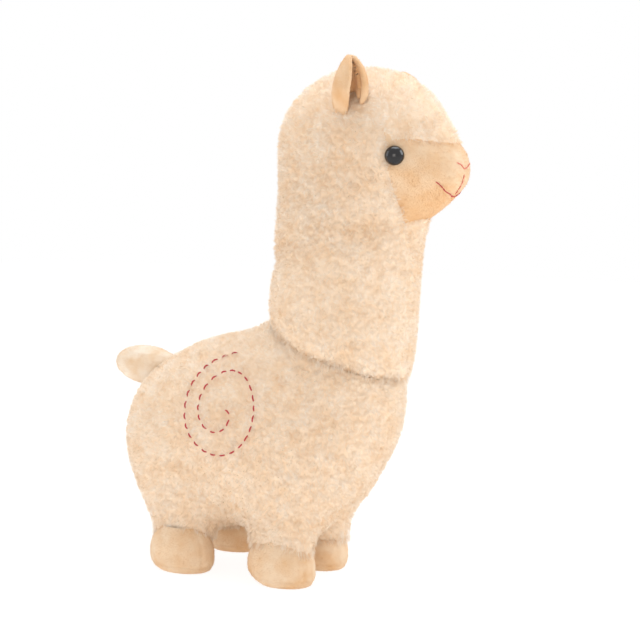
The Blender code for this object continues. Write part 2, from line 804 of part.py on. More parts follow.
def build_face_stitches(surface, thread, collection):
    """Adds the nose, the line below it and the mouth."""
    lines = {
        "nose_stitch": [(-NOSE_BEARING, NOSE_UP), (0.0, NOSE_POINT), (NOSE_BEARING, NOSE_UP)],
        "lip_stitch": [(0.0, NOSE_POINT - STITCH_BREAK), (0.0, MOUTH_POINT + STITCH_BREAK)],
        "mouth_stitch": [(-MOUTH_BEARING, MOUTH_UP), (-MOUTH_BEND, MOUTH_BEND_UP), (0.0, MOUTH_POINT),
                         (MOUTH_BEND, MOUTH_BEND_UP), (MOUTH_BEARING, MOUTH_UP)],
    }
    for name, ends in lines.items():
        add_thread(name, muzzle_line(surface, ends, 5), thread, collection)


def centre(parts, cutters):
    """Moves everything along Y so that the origin is under the middle of the pieces."""
    reach = []
    for piece in parts.objects:
        mesh = evaluated(piece)
        reach += [(piece.matrix_world @ vert.co).y for vert in mesh.vertices]
        bpy.data.meshes.remove(mesh)
    shift = (max(reach) + min(reach)) / 2
    for piece in list(parts.objects) + list(cutters.objects):
        piece.location.y -= shift


def main():
    """Builds the whole toy."""
    clear_scene()
    parts = new_collection("Plush alpaca pillow")
    cutters = new_collection("Cutters")
    fleece = new_material("Cream fleece", (0.84, 0.66, 0.50), 0.95, 0.4)
    velboa = new_material("Cream velboa", (0.80, 0.58, 0.40), 0.85, 0.5)
    plastic = new_material("Black plastic", (0.01, 0.009, 0.009), 0.12)
    fill = new_material("White polyester fibre", (0.9, 0.9, 0.88), 0.95)
    thread = new_material("Dark red thread", (0.24, 0.03, 0.04), 0.7)

    body = body_form(cutters)
    build_body(body, fleece, fill, parts)
    body_surface = BVHTree.FromBMesh(body)
    body_room = add_cutter("body_room", grown(body, CLEARANCE), cutters)
    body.free()

    head = neck_form(cutters)
    panels = build_neck_and_head(head, fleece, velboa, fill, parts)
    head_surface = BVHTree.FromBMesh(head)
    head_room = add_cutter("head_room", grown(head, CLEARANCE), cutters)
    head.free()

    build_feet(velboa, parts)
    build_tail(body_room, velboa, fill, parts)
    for side in (-1.0, 1.0):
        name = "_right" if side < 0 else "_left"
        pierced = [panels["face" + name], panels["hood" + name]]
        build_eye(side, head_surface, pierced, panels["filling"], plastic, parts, cutters)
        build_ear(side, head_room, velboa, parts)
    build_spiral(body_surface, thread, parts)
    build_face_stitches(head_surface, thread, parts)
    centre(parts, cutters)


main()
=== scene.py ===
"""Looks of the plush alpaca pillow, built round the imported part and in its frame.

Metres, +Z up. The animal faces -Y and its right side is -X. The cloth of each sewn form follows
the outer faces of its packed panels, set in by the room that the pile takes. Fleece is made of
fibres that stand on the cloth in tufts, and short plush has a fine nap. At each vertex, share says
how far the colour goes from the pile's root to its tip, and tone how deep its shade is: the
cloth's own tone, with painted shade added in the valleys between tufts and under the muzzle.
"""
import math

import bmesh
import bpy
import numpy as np
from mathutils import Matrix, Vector
from mathutils.bvhtree import BVHTree
from mathutils.kdtree import KDTree


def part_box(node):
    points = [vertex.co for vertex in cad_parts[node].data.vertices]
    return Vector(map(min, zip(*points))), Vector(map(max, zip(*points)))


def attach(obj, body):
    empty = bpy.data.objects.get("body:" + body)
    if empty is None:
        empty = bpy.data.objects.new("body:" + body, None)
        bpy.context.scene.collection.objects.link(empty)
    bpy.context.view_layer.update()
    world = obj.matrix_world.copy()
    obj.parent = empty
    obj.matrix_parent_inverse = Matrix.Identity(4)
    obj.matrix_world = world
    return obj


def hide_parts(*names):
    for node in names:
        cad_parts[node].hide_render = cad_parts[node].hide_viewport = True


MM = 0.001
SEED = 7
TINY = 1e-12

# Camera, read from the photograph's perspective
CAMERA_BEARING = math.radians(-57.1)
CAMERA_DISTANCE = 0.894
CAMERA_HEIGHT = 0.259
CAMERA_AIM = 0.1724
CAMERA_AXIS_Y = 0.0079
CAMERA_LENS = 74.3
CAMERA_SHIFT = 0.082
CAMERA_SENSOR = 36.0
CAMERA_NEAR = 0.05

# Sewn skins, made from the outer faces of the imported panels
FACING_REACH = 9.0 * MM
SEAM_WELD = 1.7 * MM
SMALL_HOLE_EDGE = 40.0 * MM
SEAM_ROLL = 6.0 * MM
ROLL_STEPS = (0.35, 0.65)
QUAD_FACE_ANGLE, QUAD_SHAPE_ANGLE = 0.9, 1.2
SKIN_LEVELS = 3
SKIN_PASSES = 6
BORDER_PASSES = 8
LINING_DEPTH = 2.2 * MM

# Fleece: the cloth and its tufts
PILE_ROOM = 2.5 * MM
SEAM_ROOM_SHARE = 0.35
TUFT_PITCH = 3.7 * MM
TUFT_TRIES = 3.2
TUFT_SPACING = 0.80
TUFT_FOOT = 0.75
TUFT_RISE = 1.1 * MM
# Painted shade: how much darker the cloth is in the valleys between tufts
VALLEY_PAINTED_SHADE = 0.6
CROWN_CURL = 0.6
NAPE_CURL = 2.1
CURL_FROM, CURL_REACH = 330.0 * MM, 70.0 * MM
NAPE_FROM, NAPE_REACH = -100.0 * MM, 45.0 * MM

# Fleece: its fibres
FIBRE_LENGTH = 3.0 * MM
FIBRE_SPREAD = (0.75, 0.5)
FIBRE_WIDTH = 0.24 * MM
FIBRE_JITTER = 0.26 * MM
FIBRE_TWIST = 0.30 * MM
FIBRES_PER_MM2 = 1.8
PILE_OF = {"body": 1.0, "belly": 0.9, "neck": 0.85, "hood": 1.1}
FLEECE_COMB = np.array([0.0, 0.25, -0.9])
WILD_SHARE, COMB_SHARE = 0.75, 0.30
TUFT_TONE = (0.30, 0.22)
FIBRE_TONE = 0.12
# How far a fibre's point goes out, over, in to its tuft's middle, round it, and at random
FIBRE_MIDDLE = (0.60, 0.20, 0.15, 0.35, 0.6)
FIBRE_TIP = (0.88, 0.60, 0.50, 0.60, 1.0)

# Fleece: its edges at the seams and round the legs and the neck
FRINGE = 8.0 * MM
FRINGE_EXTRA = 0.6
FRINGE_LEAN = 1.2
FRINGE_ROOM = 1.5
LEG_RIM_BELOW = 60.0 * MM
NECK_RIM_BELOW = 200.0 * MM
RIM_DROP = {"body": 4.5 * MM, "neck": 1.5 * MM}
RIM_FLARE = {"body": 1.2 * MM, "neck": -1.3 * MM}
PRESS_REACH = 2.2 * MM
PRESS_FROM = 0.35
PRESS_LEFT = 0.35

# Short plush
NAP_LENGTH = 1.0 * MM
NAP_SPREAD = (0.7, 0.6)
NAP_WIDTH = 0.16 * MM
NAP_PER_MM2 = 1.8
NAP_WILD = 0.45
NAP_UP, NAP_OVER = 0.75, 0.8
NAP_TONE = (0.15, 0.15)
NAP_CLEAR = 0.75 * MM
NAP_COMB_FACE = np.array([0.0, 0.9, -0.3])
NAP_COMB_DOWN = np.array([0.0, 0.1, -1.0])
NAP_COMB_UP = np.array([0.0, 0.2, 1.0])
NAP_COMB_BACK = np.array([0.0, 1.0, 0.1])
FACE_TONE = 0.2
# Painted shade under the muzzle: the face darkens below this height, over this reach
MUZZLE_SHADE_FROM = 272.0 * MM
MUZZLE_SHADE_REACH = 32.0 * MM
EAR_CELL = 0.7 * MM
EAR_PASSES = 10
EAR_PLUMP = {"ear_back_": 0.9 * MM, "ear_front_": 2.0 * MM}
EAR_TONE = {"ear_back_": 0.5, "ear_front_": 0.9}
EAR_LENGTH_SHARE = 0.90
EAR_ROOT_SINK = 9.0 * MM
EAR_ROOT_SHARE = 0.5
TAIL_CELL = 1.1 * MM
TAIL_PASSES = 4

# Feet
FOOT_ROWS = 40
FOOT_ROW_POWER = 1.25
FOOT_SIDES = 96
FOOT_RISE = 9.0 * MM
FOOT_RUN_UP = 6.0 * MM
FOOT_NECK = 0.40
CREASE_DEPTH, CREASE_WIDTH = 0.4 * MM, 0.7 * MM
CREASE_HEIGHT, CREASE_WAVE = 4.2 * MM, 1.2 * MM
FOOT_SEAMS = (math.radians(-115), math.radians(-65))
FOOT_SEAM_DEPTH = 0.35 * MM
FOOT_SEAM_WIDTH = 0.05
FOOT_SHIFT = {"hind_right": -2.5 * MM, "hind_left": -1.0 * MM,
              "fore_right": 0.0, "fore_left": 2.5 * MM}
SOLE_SHARE = 0.78
SOLE_RINGS = (0.97, 0.93, 0.75, 0.5, 0.25)
SOLE_EDGE = 0.25 * MM
SOLE_TONE = 0.4
HEEL_LIFT = {"hind": 2.5 * MM, "fore": 5.0 * MM}

# Threads
DASH_SPREAD = (0.85, 0.3)
GAP_SPREAD = (0.8, 0.4)
LAST_DASH_SHARE = 0.6
THREAD_SIDES = 10
THREAD_STEP = 0.25 * MM
THREAD_PLY = 0.13
THREAD_PLY_PITCH = 1.5 * MM
THREAD_RADIUS = 0.52 * MM
SPIRAL_POINTS = 400
SPIRAL_TURNS = 1.75
SPIRAL_END = math.radians(86)
SPIRAL_EASE = 0.55
SPIRAL_EYE = 0.12
SPIRAL_DASH = 4.0 * MM
SPIRAL_GAP = 3.3 * MM
SPIRAL_LAY = 0.4 * MM
SPIRAL_SUNK = -0.5 * MM
SPIRAL_FAINT_END = 30.0 * MM
SPIRAL_FAINT_DEPTH = 1.4 * MM
FACE_THREAD_RADIUS = 0.36 * MM
FACE_LAY = 0.3 * MM
FACE_DASH = 3.4 * MM
FACE_GAP = 0.25 * MM
# The axis that each face thread runs along, the steps it is read in, and its tone
FACE_THREADS = {"nose_stitch": (0, 10, 0.85), "lip_stitch": (2, 6, 0.85),
                "mouth_stitch": (0, 20, 0.1)}

# Eyes
EYE_RADIUS = 6.0 * MM
EYE_DOME = 5.0 * MM
EYE_RIM = 0.8 * MM
SHANK_RADIUS = 2.0 * MM
EYE_ROWS = 24
EYE_SIDES = 64
EYE_DIMPLE = 1.3 * MM
EYE_DIMPLE_REACH = 6.5 * MM

# Colours, linear
FLEECE_CLOTH = (0.865, 0.74, 0.61)
FLEECE_ROOT = (0.88, 0.78, 0.67)
FLEECE_TIP = (0.90, 0.85, 0.785)
FLEECE_SHADE = (0.97, 0.90, 0.81)
PLUSH_CLOTH = (0.79, 0.59, 0.40)
PLUSH_ROOT = (0.80, 0.60, 0.415)
PLUSH_TIP = (0.83, 0.675, 0.51)
PLUSH_SHADE = (0.91, 0.77, 0.61)
TAIL_ROOT = (0.80, 0.67, 0.53)
TAIL_TIP = (0.83, 0.73, 0.62)
FILLING_WHITE = (0.88, 0.86, 0.82)
WASHER_WHITE = (0.72, 0.72, 0.70)
THREAD_RED = (0.34, 0.010, 0.020)
THREAD_LIGHT = (0.50, 0.028, 0.040)
THREAD_PINK = (0.72, 0.20, 0.15)
EYE_BLACK = (0.006, 0.005, 0.006)
WHITE = (1.0, 1.0, 1.0)
CLOTH_ROUGHNESS = 0.92
CLOTH_GLOSS = 0.12
PATCHES_PER_M = 75.0
STRANDS_PER_M = 2600.0

# Lamps: how far right, forward and up, the height aimed at, the size, the power and the colour
LAMPS = {
    "key": (1.1, 0.15, 0.7, 0.18, 0.7, 6.2, (0.90, 0.96, 1.0)),
    "top": (0.1, -0.15, 1.25, 0.18, 1.0, 12.0, (0.87, 0.94, 1.0)),
    "left": (-1.1, -0.1, 0.55, 0.18, 0.9, 4.4, (0.87, 0.94, 1.0)),
    "low": (-0.1, 1.0, 0.2, 0.04, 0.45, 1.6, (1.0, 0.93, 0.86)),
}
SKY = (1.0, 0.98, 0.96)
SKY_STRENGTH = 0.56
FLOOR_HALF = 3
FLOOR_PALE = (0.90, 0.87, 0.84)
FLOOR_GLOW = (1.0, 0.93, 0.84)
FLOOR_GLOW_STRENGTH = 0.35
FLOOR_WHITE_STRENGTH = 1.06
FLOOR_WHITE_SHARE = 0.78

BODY_PANELS = ("body_panel_right", "body_panel_left", "belly_panel")
HEAD_PANELS = ("neck_panel_right", "neck_panel_left", "hood_panel_right", "hood_panel_left",
               "face_panel_right", "face_panel_left")
FEET = ("hind_right", "hind_left", "fore_right", "fore_left")
SIDES = ("right", "left")


def mesh_arrays(mesh):
    """Returns a mesh's vertices and triangles."""
    mesh.calc_loop_triangles()
    co = np.empty(len(mesh.vertices) * 3)
    mesh.vertices.foreach_get("co", co)
    tris = np.empty(len(mesh.loop_triangles) * 3, int)
    mesh.loop_triangles.foreach_get("vertices", tris)
    return co.reshape(-1, 3), tris.reshape(-1, 3)


def node_arrays(node):
    """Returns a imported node's vertices and triangles."""
    return mesh_arrays(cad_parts[node].data)


def node_box(node):
    """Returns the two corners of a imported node's box, and its middle."""
    low, high = (np.array(corner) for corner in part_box(node))
    return low, high, (low + high) / 2


def tree_of(nodes):
    """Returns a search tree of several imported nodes' faces."""
    verts, tris = [], []
    for node in nodes:
        co, faces = node_arrays(node)
        tris += (faces + len(verts)).tolist()
        verts += co.tolist()
    return BVHTree.FromPolygons(verts, tris)


def unit(vectors):
    """Returns vectors scaled to length one."""
    return vectors / np.maximum(np.linalg.norm(vectors, axis=1), TINY)[:, None]


def corner_cross(co, tris):
    """Returns each triangle's normal, as long as twice its area."""
    return np.cross(co[tris[:, 1]] - co[tris[:, 0]], co[tris[:, 2]] - co[tris[:, 0]])


def area_of(co, tris, weights):
    """Returns the weighted area of triangles."""
    return (np.linalg.norm(corner_cross(co, tris), axis=1) * weights).sum() / 2


def vertex_normals(co, tris):
    """Returns the area-weighted normal at each vertex."""
    cross = corner_cross(co, tris)
    normals = np.zeros_like(co)
    for corner in range(3):
        np.add.at(normals, tris[:, corner], cross)
    return unit(normals)


def smooth_step(share):
    """Returns a share from 0 to 1 that starts and ends level."""
    share = np.clip(share, 0.0, 1.0)
    return share * share * (3.0 - 2.0 * share)


def scatter(co, tris, weights, count, rng):
    """Returns evenly random places on triangles: triangle number and corner shares."""
    total = np.cumsum(np.linalg.norm(corner_cross(co, tris), axis=1) * weights)
    picked = np.searchsorted(total, rng.random(count) * total[-1])
    first, second = rng.random(count), rng.random(count)
    over = first + second > 1
    first[over], second[over] = 1 - first[over], 1 - second[over]
    return picked, np.stack([1 - first - second, first, second], axis=1)


def at_shares(values, tris, picked, shares):
    """Returns vertex values at scattered places."""
    return (values[tris[picked]] * shares[:, :, None]).sum(axis=1)


def thinned(points, distance):
    """Returns the numbers of points that keep a distance from each other."""
    cells, kept = {}, []
    for number, point in enumerate(points):
        cell = tuple((point // distance).astype(int))
        around = [(cell[0] + dx, cell[1] + dy, cell[2] + dz)
                  for dx in (-1, 0, 1) for dy in (-1, 0, 1) for dz in (-1, 0, 1)]
        beside = [other for key in around for other in cells.get(key, ())]
        if not beside or ((points[beside] - point) ** 2).sum(axis=1).min() >= distance ** 2:
            kept.append(number)
            cells.setdefault(cell, []).append(number)
    return np.array(kept)


def starts_with(panels, word):
    """Returns which panels have a name that starts with a word."""
    return np.array([name.startswith(word) for name in panels])


def length_of(path):
    """Returns the length of a line of points."""
    return np.linalg.norm(np.diff(path, axis=0), axis=1).sum()


def nearest(points, queries):
    """Returns the number of the nearest point to each query, and its distance."""
    tree = KDTree(len(points))
    for number, point in enumerate(points):
        tree.insert(point, number)
    tree.balance()
    found = [tree.find(query) for query in queries]
    return np.array([item[1] for item in found]), np.array([item[2] for item in found])


def new_mesh(name, co, faces, attributes=None):
    """Makes mesh data from arrays, with named numbers at its vertices."""
    mesh = bpy.data.meshes.new(name)
    size = faces.shape[1]
    mesh.vertices.add(len(co))
    mesh.vertices.foreach_set("co", np.ascontiguousarray(co, np.float32).ravel())
    mesh.loops.add(faces.size)
    mesh.loops.foreach_set("vertex_index", np.ascontiguousarray(faces, np.int32).ravel())
    mesh.polygons.add(len(faces))
    mesh.polygons.foreach_set("loop_start", np.arange(0, faces.size, size, dtype=np.int32))
    for key, values in (attributes or {}).items():
        layer = mesh.attributes.new(key, "FLOAT", "POINT")
        layer.data.foreach_set("value", np.ascontiguousarray(values, np.float32))
    mesh.update(calc_edges=True)
    mesh.validate()
    return mesh


def add_piece(name, mesh, material, smooth=True, replaces=()):
    """Puts a piece of the toy in the scene, riding on the one body."""
    piece = bpy.data.objects.new(name, mesh)
    mesh.materials.clear()
    mesh.materials.append(material)
    mesh.polygons.foreach_set("use_smooth", [smooth] * len(mesh.polygons))
    bpy.context.scene.collection.objects.link(piece)
    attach(piece, "root")
    if replaces:
        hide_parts(*replaces)
    return piece


def add_plush(name, co, tris, share, tone, material, node):
    """Adds short plush of one share and tone all over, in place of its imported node."""
    values = {"share": np.full(len(co), share), "tone": np.full(len(co), tone)}
    mesh = new_mesh(name, co, tris, values)
    return add_piece(name, mesh, material, True, (node,))


def compact(co, tris, *values):
    """Keeps only the vertices that the triangles use."""
    used, numbers = np.unique(tris, return_inverse=True)
    return (co[used], numbers.reshape(tris.shape)) + tuple(value[used] for value in values)


def principled(name, colour, roughness):
    """Makes a material and returns it with its node tree and main shader."""
    made = bpy.data.materials.new(name)
    made.use_nodes = True
    shader = made.node_tree.nodes["Principled BSDF"]
    shader.inputs["Base Color"].default_value = (*colour, 1.0)
    shader.inputs["Roughness"].default_value = roughness
    return made, made.node_tree, shader


def value_of(tree, attribute):
    """Returns the output of a mesh attribute."""
    found = tree.nodes.new("ShaderNodeAttribute")
    found.attribute_name = attribute
    return found.outputs["Fac"]


def blend_of(tree, factor, first, second, kind="MIX"):
    """Returns a mix of two colours, each a colour or an output."""
    mix = tree.nodes.new("ShaderNodeMix")
    mix.data_type = "RGBA"
    mix.blend_type = kind
    for socket, value in (("Factor", factor), ("A", first), ("B", second)):
        if isinstance(value, bpy.types.NodeSocket):
            tree.links.new(value, mix.inputs[socket])
        elif isinstance(value, tuple):
            mix.inputs[socket].default_value = (*value, 1.0)
        else:
            mix.inputs[socket].default_value = value
    return mix.outputs["Result"]


def noise_of(tree, per_metre, low, high, detail=2.0):
    """Returns a soft random pattern, with its contrast stretched between two levels."""
    place = tree.nodes.new("ShaderNodeTexCoord")
    pattern = tree.nodes.new("ShaderNodeTexNoise")
    pattern.inputs["Scale"].default_value = per_metre
    pattern.inputs["Detail"].default_value = detail
    tree.links.new(place.outputs["Object"], pattern.inputs["Vector"])
    level = tree.nodes.new("ShaderNodeMapRange")
    level.inputs["From Min"].default_value = low
    level.inputs["From Max"].default_value = high
    tree.links.new(pattern.outputs["Fac"], level.inputs["Value"])
    return level.outputs["Result"]


def add_bump(tree, shader, height, distance, strength):
    """Raises a shader's surface by a pattern."""
    bump = tree.nodes.new("ShaderNodeBump")
    bump.inputs["Distance"].default_value = distance
    bump.inputs["Strength"].default_value = strength
    tree.links.new(height, bump.inputs["Height"])
    tree.links.new(bump.outputs["Normal"], shader.inputs["Normal"])


def show_mix(tree, mix, first, second, output):
    """Shows a mix of two shaders."""
    tree.links.new(first, mix.inputs[1])
    tree.links.new(second, mix.inputs[2])
    tree.links.new(mix.outputs["Shader"], tree.nodes[output].inputs["Surface"])


def cloth_material(name, root, tip, shade, through, grain):
    """Makes mottled cloth or fibre, from its root's colour to its tip's.

    A share of light goes through fibres, and cloth has a grain of so many grains to the metre.
    """
    made, tree, shader = principled(name, tip, CLOTH_ROUGHNESS)
    shader.inputs["Specular IOR Level"].default_value = CLOTH_GLOSS
    shader.inputs["Sheen Weight"].default_value = CLOTH_GLOSS
    shader.inputs["Sheen Roughness"].default_value = 0.5
    colour = blend_of(tree, value_of(tree, "share"), root, tip)
    colour = blend_of(tree, value_of(tree, "tone"), colour, shade, "MULTIPLY")
    patches = noise_of(tree, PATCHES_PER_M, 0.35, 0.75)
    colour = blend_of(tree, patches, colour, blend_of(tree, 1.0, colour, shade, "MULTIPLY"))
    tree.links.new(colour, shader.inputs["Base Color"])
    if grain:
        add_bump(tree, shader, noise_of(tree, grain, 0.2, 0.8), 0.35 * MM, 0.6)
    if through:
        thin = tree.nodes.new("ShaderNodeBsdfTranslucent")
        tree.links.new(colour, thin.inputs["Color"])
        mix = tree.nodes.new("ShaderNodeMixShader")
        mix.inputs["Fac"].default_value = through
        show_mix(tree, mix, shader.outputs["BSDF"], thin.outputs["BSDF"], "Material Output")
    return made


def thread_material():
    """Makes embroidery thread with fine strands."""
    made, tree, shader = principled("Red thread", THREAD_RED, 0.55)
    fine = noise_of(tree, STRANDS_PER_M, 0.3, 0.7)
    colour = blend_of(tree, fine, THREAD_RED, THREAD_LIGHT)
    colour = blend_of(tree, value_of(tree, "tone"), colour, THREAD_PINK)
    tree.links.new(colour, shader.inputs["Base Color"])
    add_bump(tree, shader, fine, 0.08 * MM, 0.5)
    return made


def eye_material():
    """Makes black moulded plastic, polished, with a very faint unevenness."""
    made, tree, shader = principled("Black eye", EYE_BLACK, 0.05)
    add_bump(tree, shader, noise_of(tree, 400.0, 0.2, 0.8), 0.01 * MM, 0.2)
    return made


def grained_material(name, colour, darker, per_metre, roughness):
    """Makes a plain hidden material with a little grain."""
    made, tree, shader = principled(name, colour, roughness)
    grain = noise_of(tree, per_metre, 0.3, 0.7, 6.0)
    tree.links.new(blend_of(tree, grain, darker, colour), shader.inputs["Base Color"])
    add_bump(tree, shader, grain, 0.4 * MM, 0.5)
    return made


def outer_faces(node, blockers):
    """Returns a panel's vertices, and its outer triangles, which face nothing close by."""
    co, tris = node_arrays(node)
    kept = []
    for tri in tris:
        a, b, c = (Vector(co[index]) for index in tri)
        normal = (b - a).cross(c - a)
        if normal.length < TINY:
            continue
        normal.normalize()
        hit = blockers.ray_cast((a + b + c) / 3 + normal * 1e-5, normal, FACING_REACH)[0]
        if hit is None:
            kept.append(tri)
    return co, np.array(kept)


def welded_skin(panels, blockers):
    """Returns one open surface of several panels' outer sides, its rims and a panel finder."""
    bm = bmesh.new()
    owners, points, polygons = [], [], []
    for number, node in enumerate(panels):
        co, tris = outer_faces(node, blockers)
        made = {}
        for tri in tris:
            corners = []
            for index in tri:
                key = tuple(np.round(co[index], 7))
                if key not in made:
                    made[key] = bm.verts.new(co[index])
                corners.append(made[key])
            if len(set(corners)) < 3:
                continue
            try:
                bm.faces.new(corners)
            except ValueError:
                continue
            polygons.append([len(points), len(points) + 1, len(points) + 2])
            points += [vert.co.copy() for vert in corners]
            owners.append(number)
    strays = [vert for vert in bm.verts if not vert.link_faces]
    bmesh.ops.delete(bm, geom=strays, context="VERTS")
    edge_verts = [vert for vert in bm.verts if vert.is_boundary]
    bmesh.ops.remove_doubles(bm, verts=edge_verts, dist=SEAM_WELD)
    close_small_holes(bm)
    bmesh.ops.recalc_face_normals(bm, faces=bm.faces)
    rims = np.array([(edge.verts[0].co + edge.verts[1].co) / 2
                     for edge in bm.edges if edge.is_boundary])
    roll_rims(bm)
    return bm, rims, (BVHTree.FromPolygons(points, polygons), owners)


def close_small_holes(bm):
    """Fills the pinholes and the bored holes of a skin, and leaves its large open ends."""
    rims = [edge for edge in bm.edges if edge.is_boundary]
    left = set(rims)
    for start in rims:
        if start not in left:
            continue
        left.remove(start)
        loop = [start]
        for edge in loop:
            beside = [other for vert in edge.verts for other in vert.link_edges if other in left]
            left.difference_update(beside)
            loop += beside
        if sum(edge.calc_length() for edge in loop) < SMALL_HOLE_EDGE:
            bmesh.ops.holes_fill(bm, edges=loop, sides=0)
    bmesh.ops.triangulate(bm, faces=[face for face in bm.faces if len(face.verts) > 4])


def roll_rims(bm):
    """Turns the cloth inwards at its open ends, as at a sewn seam."""
    bm.normal_update()
    for depth in ROLL_STEPS:
        rim = [edge for edge in bm.edges if edge.is_boundary]
        inner = {}
        for vert in (vert for edge in rim for vert in edge.verts):
            if vert not in inner:
                inner[vert] = bm.verts.new(vert.co - vert.normal * SEAM_ROLL * depth, vert)
        for edge in rim:
            first, second = edge.verts
            bm.faces.new([first, second, inner[second], inner[first]])
        bmesh.ops.recalc_face_normals(bm, faces=bm.faces)


def evaluated_arrays(mesh, modifiers):
    """Returns a mesh's vertices and triangles after modifiers, each a kind and its settings."""
    holder = bpy.data.objects.new("holder", mesh)
    bpy.context.scene.collection.objects.link(holder)
    for kind, settings in modifiers:
        step = holder.modifiers.new(kind, kind)
        for key, value in settings.items():
            setattr(step, key, value)
    bpy.context.view_layer.update()
    graph = bpy.context.evaluated_depsgraph_get()
    made = bpy.data.meshes.new_from_object(holder.evaluated_get(graph))
    bpy.data.objects.remove(holder, do_unlink=True)
    arrays = mesh_arrays(made)
    bpy.data.meshes.remove(made)
    return arrays


def smoothing(passes):
    """Returns a modifier's kind and settings that even out a mesh."""
    return "SMOOTH", {"factor": 0.5, "iterations": passes}


def dense(bm):
    """Subdivides a skin and evens it out. Returns vertices and triangles."""
    bmesh.ops.join_triangles(bm, faces=bm.faces, angle_face_threshold=QUAD_FACE_ANGLE,
                             angle_shape_threshold=QUAD_SHAPE_ANGLE)
    mesh = bpy.data.meshes.new("skin")
    bm.to_mesh(mesh)
    bm.free()
    finer = ("SUBSURF", {"levels": SKIN_LEVELS, "render_levels": SKIN_LEVELS})
    return evaluated_arrays(mesh, [finer, smoothing(SKIN_PASSES)])


def rounded(node, cell, passes):
    """Returns an even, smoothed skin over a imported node."""
    co, tris = node_arrays(node)
    mesh = new_mesh("rounded", co, tris)
    even = ("REMESH", {"mode": "VOXEL", "voxel_size": cell, "adaptivity": 0.0})
    return evaluated_arrays(mesh, [even, smoothing(passes)])


def spread(values, tris, passes):
    """Returns vertex values blurred over their neighbours."""
    for _ in range(passes):
        total = np.zeros(len(values))
        weight = np.zeros(len(values))
        for a, b in ((0, 1), (1, 2), (2, 0), (1, 0), (2, 1), (0, 2)):
            np.add.at(total, tris[:, a], values[tris[:, b]])
            np.add.at(weight, tris[:, a], 1)
        values = (values + total / np.maximum(weight, 1)) / 2
    return values


def strands(root, middle, tip, across, width):
    """Returns the vertices, triangles and shares of one thin leaf-shaped fibre per root."""
    half = across * width / 2
    co = np.stack([root, middle - half, middle + half, tip], axis=1)
    base = (np.arange(len(root)) * 4)[:, None, None]
    tris = base + np.array([[0, 2, 1], [1, 2, 3]])
    share = np.tile([0.0, FIBRE_MIDDLE[0], FIBRE_MIDDLE[0], 1.0], len(root))
    return co.reshape(-1, 3), tris.reshape(-1, 3), share


def add_nap(name, co, tris, weights, comb, material, rng, shade=None, clear=None):
    """Adds the short nap of a plush surface, brushed one way and kept clear of some points."""
    normals = vertex_normals(co, tris)
    count = int(area_of(co, tris, weights) * NAP_PER_MM2 / MM ** 2)
    picked, shares = scatter(co, tris, weights, count, rng)
    root = at_shares(co, tris, picked, shares)
    if clear is not None:
        kept = nearest(clear, root)[1] > NAP_CLEAR
        root, picked, shares = root[kept], picked[kept], shares[kept]
    normal = unit(at_shares(normals, tris, picked, shares))
    count = len(root)
    brushed = comb - normal * (normal @ comb)[:, None] + rng.normal(size=(count, 3)) * NAP_WILD
    length = NAP_LENGTH * (NAP_SPREAD[0] + NAP_SPREAD[1] * rng.random(count))[:, None]
    tip = root + unit(normal * NAP_UP + brushed * NAP_OVER) * length
    half = unit(np.cross(tip - root, normal)) * NAP_WIDTH / 2
    blades = np.stack([root - half, root + half, tip], axis=1).reshape(-1, 3)
    blades[:, 2] = np.maximum(blades[:, 2], 0.0)
    faces = np.arange(count * 3).reshape(-1, 3)
    share = np.tile([0.2, 0.2, 1.0], count)
    tone = rng.normal(*NAP_TONE, count)
    if shade is not None:
        tone += at_shares(shade[:, None], tris, picked, shares)[:, 0]
    tone = np.repeat(np.clip(tone, 0, 1), 3)
    mesh = new_mesh(name, blades, faces, {"share": share, "tone": tone})
    add_piece(name, mesh, material, False)


def add_pile(name, fibres, mine):
    """Adds the fleece fibres of one panel, from the fibres grown over its whole form."""
    root, middle, tip, across, tone = (values[mine] for values in fibres)
    co, tris, share = strands(root, middle, tip, across, FIBRE_WIDTH)
    mesh = new_mesh(name, co, tris, {"share": share, "tone": np.repeat(tone, 4)})
    add_piece(name, mesh, fleece_pile, False)


def fibre_point(shape, root, length, normal, lean, off, swirl, jitter):
    """Returns one point of each fibre, by how far its shape goes each way."""
    out, over, inwards, turned, loose = shape
    ahead = root + normal * length * out + lean * length * over
    return ahead - off * inwards + swirl * turned + jitter * loose


